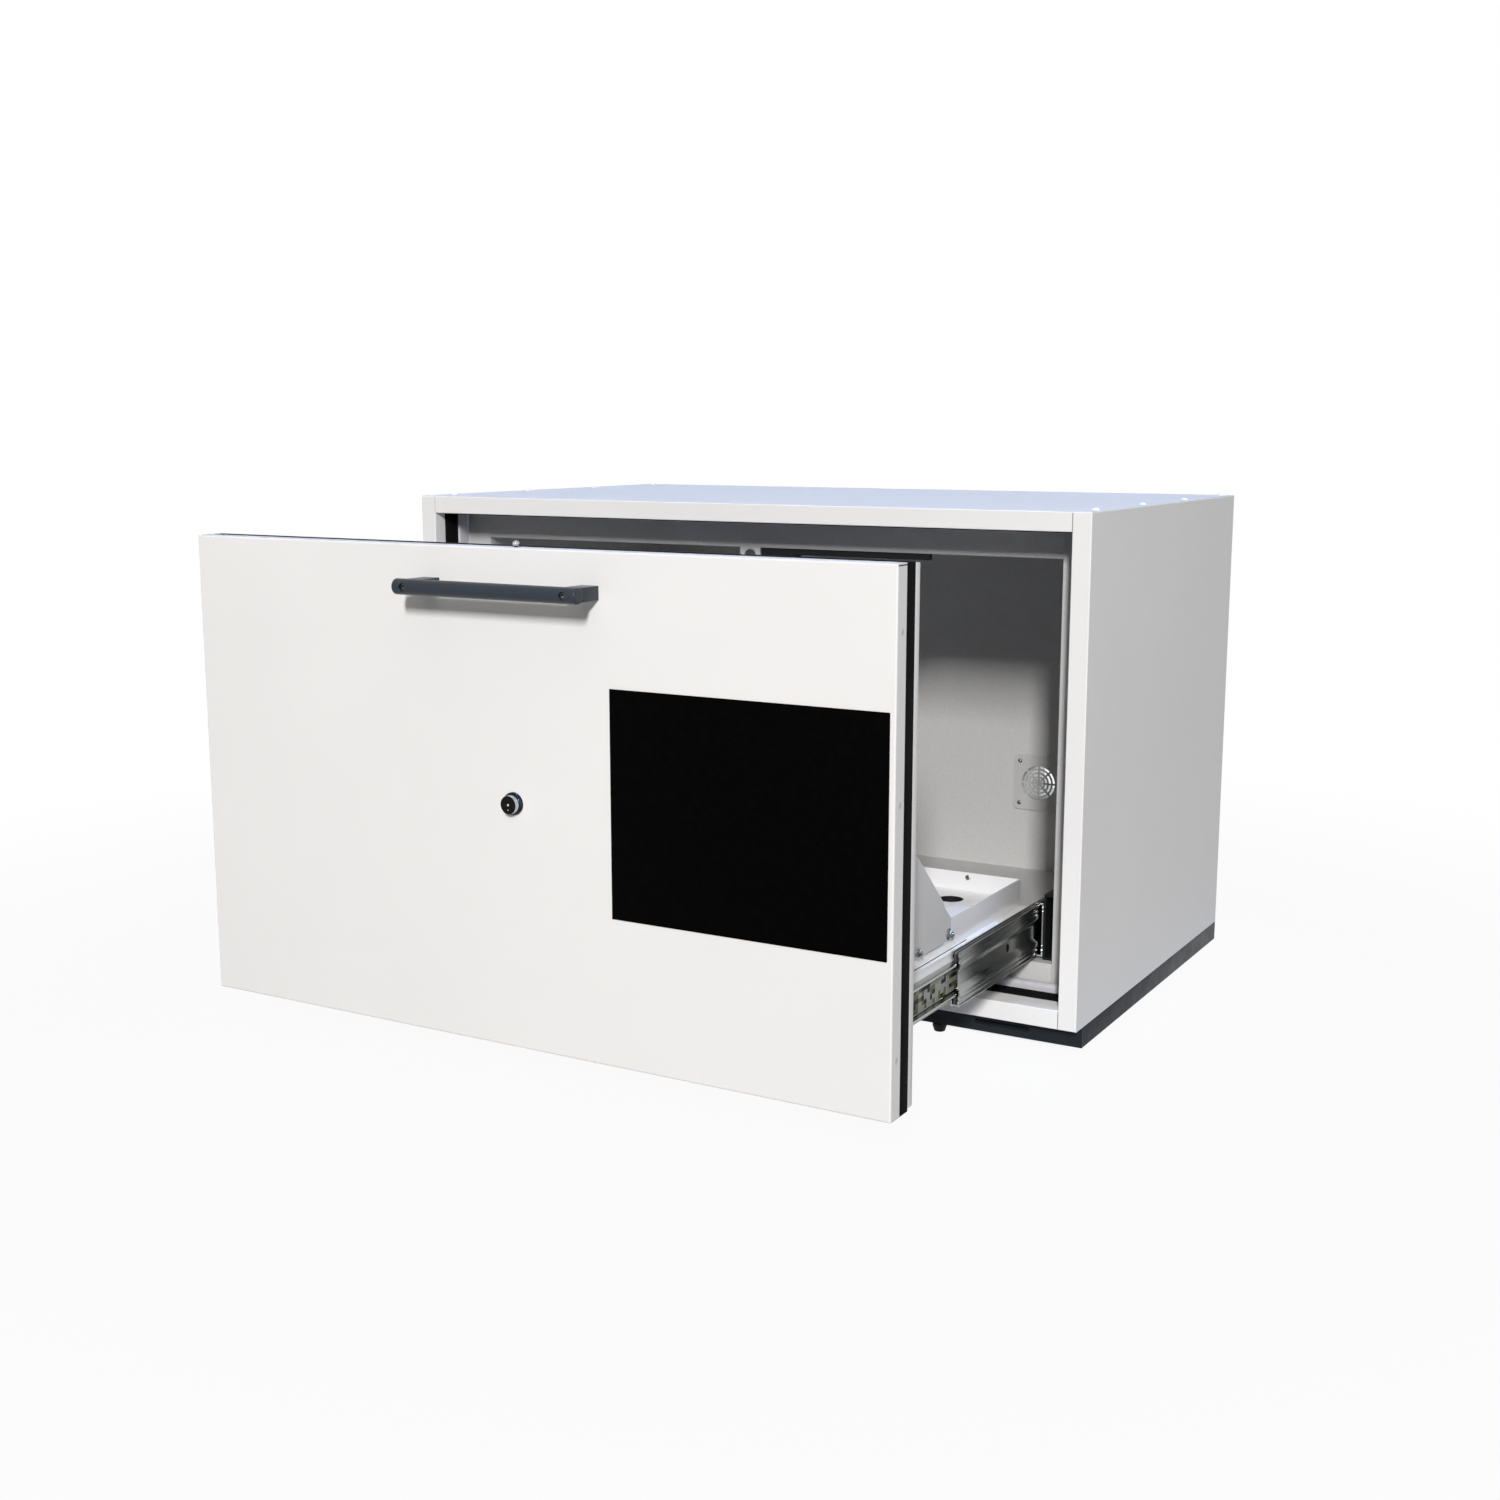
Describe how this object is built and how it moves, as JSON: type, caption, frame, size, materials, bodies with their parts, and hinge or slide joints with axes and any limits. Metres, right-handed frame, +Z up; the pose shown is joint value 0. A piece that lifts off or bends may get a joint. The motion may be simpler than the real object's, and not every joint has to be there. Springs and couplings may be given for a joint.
{
  "type": "underbench flammable storage cabinet",
  "caption": "Low white steel fire-resistant cabinet on a dark plinth, with a wide insulated pull-out drawer holding a shallow spill tray on telescopic slides.",
  "frame": {"origin": "on the floor, under the middle of the box that the cabinet fills with its drawer pulled out as pictured", "axes": "+X to the right seen from the front, +Y to the rear, along the exhaust spigot, +Z up"},
  "size_m": [0.893, 1.0186, 0.6022],
  "materials": {
    "white_paint": "smooth satin powder coat",
    "rear_steel": "galvanised",
    "fire_board": "raw mineral fire board",
    "grey_laminate": "matt laminate",
    "black_seal": "matt swelling strip",
    "pale_gasket": "smooth",
    "anthracite_paint": "satin powder coat",
    "grille_grey": "satin",
    "white_screw": "satin",
    "black_plastic": "moulded",
    "black_steel": "satin black",
    "zinc_steel": "zinc plated",
    "cage_grey": "moulded",
    "label_black": "bare, unprinted",
    "chrome": "polished",
    "lock_black": "satin black"
  },
  "bodies": {
    "cabinet": {"right_side_skin": "white_paint", "left_side_skin": "white_paint", "top_skin": "white_paint", "bottom_skin": "white_paint", "back_skin": "rear_steel", "back_board": "fire_board", "back_liner": "grey_laminate", "side_boards": "fire_board", "level_boards": "fire_board", "side_liners": "grey_laminate", "level_liners": "grey_laminate", "stile_fills": "fire_board", "rail_fills": "fire_board", "inner_frame_stiles": "grey_laminate", "inner_frame_rails": "grey_laminate", "reveal_seal_sides": "black_seal", "reveal_seal_rails": "black_seal", "gasket_sides": "pale_gasket", "gasket_rails": "pale_gasket", "plinth_front": "anthracite_paint", "plinth_sides": "anthracite_paint", "plinth_rear": "anthracite_paint", "foot_plates": "black_steel", "right_air_spigot": "rear_steel", "left_air_spigot": "rear_steel", "air_grilles": "grille_grey", "cabinet_screws": "white_screw", "catch_bracket": "grille_grey", "catch_block": "black_plastic", "slide_brackets": "black_steel", "slide_outer_members": "zinc_steel"},
    "drawer": {"slide_drawer_members": "zinc_steel", "chassis_sides": "white_paint", "chassis_cross_bars": "white_paint", "spill_tray": "white_paint", "tray_floor_plate": "white_paint", "gussets": "white_paint", "drawer_fixings": "zinc_steel", "front_skin": "white_paint", "front_core": "fire_board", "edge_seal_sides": "black_seal", "edge_seal_rails": "black_seal", "front_inner_plate": "white_paint", "label_plate": "label_black", "handle_bar": "anthracite_paint", "handle_posts": "anthracite_paint", "handle_screws": "zinc_steel", "lock_housing": "chrome", "bolt_guides": "zinc_steel"},
    "slide_left": {"slide_middle_left": "zinc_steel", "ball_cages_left": "cage_grey"},
    "slide_right": {"slide_middle_right": "zinc_steel", "ball_cages_right": "cage_grey"},
    "lock_plug": {"lock_plug": "lock_black"},
    "lock_bolt": {"lock_bolt": "chrome"},
    "foot_front_left": {"foot_front_left": "black_plastic"},
    "foot_front_right": {"foot_front_right": "black_plastic"},
    "foot_rear_left": {"foot_rear_left": "black_plastic"},
    "foot_rear_right": {"foot_rear_right": "black_plastic"}
  },
  "joints": [
    {"name": "drawer_slide", "type": "slide", "parent": "cabinet", "child": "drawer", "axis": [0, -1, 0], "range_m": [-0.4066, 0.0434]},
    {"name": "left_slide_travel", "type": "slide", "parent": "cabinet", "child": "slide_left", "axis": [0, -1, 0], "range_m": [-0.2033, 0.0217]},
    {"name": "right_slide_travel", "type": "slide", "parent": "cabinet", "child": "slide_right", "axis": [0, -1, 0], "range_m": [-0.2033, 0.0217]},
    {"name": "lock_turn", "type": "hinge", "parent": "drawer", "child": "lock_plug", "pos_m": [0, -0.4633, 0.31825], "axis": [0, -1, 0], "range_deg": [-90, 0]},
    {"name": "bolt_throw", "type": "slide", "parent": "drawer", "child": "lock_bolt", "axis": [0, 0, -1], "range_m": [-0.012, 0]},
    {"name": "foot_front_left_screw", "type": "slide", "parent": "cabinet", "child": "foot_front_left", "axis": [0, 0, -1], "range_m": [0, 0.012]},
    {"name": "foot_front_right_screw", "type": "slide", "parent": "cabinet", "child": "foot_front_right", "axis": [0, 0, -1], "range_m": [0, 0.012]},
    {"name": "foot_rear_left_screw", "type": "slide", "parent": "cabinet", "child": "foot_rear_left", "axis": [0, 0, -1], "range_m": [0, 0.012]},
    {"name": "foot_rear_right_screw", "type": "slide", "parent": "cabinet", "child": "foot_rear_right", "axis": [0, 0, -1], "range_m": [0, 0.012]}
  ],
  "couplings": [
    {"joint": "left_slide_travel", "follows": "drawer_slide", "ratio": 0.5},
    {"joint": "right_slide_travel", "follows": "drawer_slide", "ratio": 0.5},
    {"joint": "lock_turn", "follows": "bolt_throw", "rad_per_m": 130.9}
  ]
}
